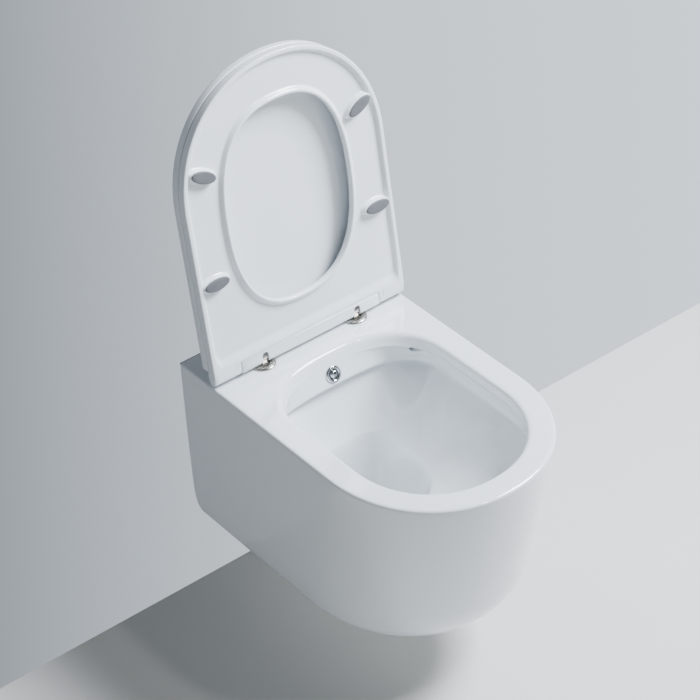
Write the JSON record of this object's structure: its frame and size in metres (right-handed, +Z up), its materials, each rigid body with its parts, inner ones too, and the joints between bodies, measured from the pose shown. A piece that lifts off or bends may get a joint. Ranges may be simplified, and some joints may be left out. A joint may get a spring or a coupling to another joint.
{
  "type": "wall-hung bidet toilet",
  "caption": "Wall-hung ceramic toilet pan with a built-in bidet wash nozzle and a slim soft-close seat and lid, both raised.",
  "frame": {"origin": "midpoint between the two wall studs, on the wall plane behind the gasket", "axes": "+X to the right seen from the front, +Y into the wall, +Z up; the pan points along -Y"},
  "size_m": [0.36, 0.5496, 0.7767],
  "materials": {
    "glazed_ceramic": "white glaze, very glossy",
    "seat_plastic": "glossy white moulded plastic",
    "bumper_rubber": "matt grey soft pads",
    "stainless": "brushed stainless steel",
    "chrome": "polished chrome",
    "brass": "machined brass",
    "black_rubber": "black rubber seals",
    "gasket_foam": "dark closed-cell foam sheet",
    "grey_plastic": "grey engineering plastic",
    "black_plastic": "black polyethylene pipe"
  },
  "bodies": {
    "pan": {"ceramic_pan": "glazed_ceramic", "wall_gasket": "gasket_foam", "flush_pipe": "grey_plastic", "flush_seal": "black_rubber", "waste_connector": "black_plastic", "waste_seal": "black_rubber", "stud_adapter_left": "stainless", "stud_sleeve_left": "grey_plastic", "clamp_screw_left": "stainless", "hinge_plug_left": "black_rubber", "hinge_stud_left": "stainless", "hinge_disc_left": "stainless", "hinge_post_left": "stainless", "pivot_pin_left": "stainless", "stud_adapter_right": "stainless", "stud_sleeve_right": "grey_plastic", "clamp_screw_right": "stainless", "hinge_plug_right": "black_rubber", "hinge_stud_right": "stainless", "hinge_disc_right": "stainless", "hinge_post_right": "stainless", "pivot_pin_right": "stainless", "nozzle_flange": "chrome", "nozzle_body": "brass", "nozzle_washer": "black_rubber", "nozzle_nut": "brass", "supply_elbow": "brass", "supply_pipe": "stainless", "supply_union": "brass"},
    "lid": {"lid": "seat_plastic", "lid_bumper_front_left": "bumper_rubber", "lid_bumper_front_right": "bumper_rubber", "lid_bumper_rear_left": "bumper_rubber", "lid_bumper_rear_right": "bumper_rubber", "lid_damper_left": "grey_plastic", "lid_damper_right": "grey_plastic", "lid_bush_left": "grey_plastic", "lid_bush_right": "grey_plastic"},
    "seat": {"seat_ring": "seat_plastic", "seat_bumper_front_left": "bumper_rubber", "seat_bumper_front_right": "bumper_rubber", "seat_bumper_rear_left": "bumper_rubber", "seat_bumper_rear_right": "bumper_rubber", "seat_damper_left": "grey_plastic", "seat_damper_right": "grey_plastic"},
    "release_left": {"release_button_left": "grey_plastic"},
    "release_right": {"release_button_right": "grey_plastic"},
    "nozzle_aim": {"nozzle_tip": "chrome"}
  },
  "joints": [
    {"name": "lid_hinge", "type": "hinge", "parent": "pan", "child": "lid", "pos_m": [0, -0.086, 0.095], "axis": [-1, 0, 0], "range_deg": [-98, 0]},
    {"name": "seat_hinge", "type": "hinge", "parent": "lid", "child": "seat", "pos_m": [0, -0.086, 0.095], "axis": [1, 0, 0], "range_deg": [0, 98]},
    {"name": "release_left_push", "type": "slide", "parent": "pan", "child": "release_left", "axis": [0, -1, 0], "range_m": [0, 0.0025], "stiffness_N_per_m": 300, "springref_m": -0.003},
    {"name": "release_right_push", "type": "slide", "parent": "pan", "child": "release_right", "axis": [0, -1, 0], "range_m": [0, 0.0025], "stiffness_N_per_m": 300, "springref_m": -0.003},
    {"name": "nozzle_aim_tilt", "type": "hinge", "parent": "pan", "child": "nozzle_aim", "pos_m": [0, -0.1414, 0.04722], "axis": [1, 0, 0], "range_deg": [-12, 12]}
  ]
}
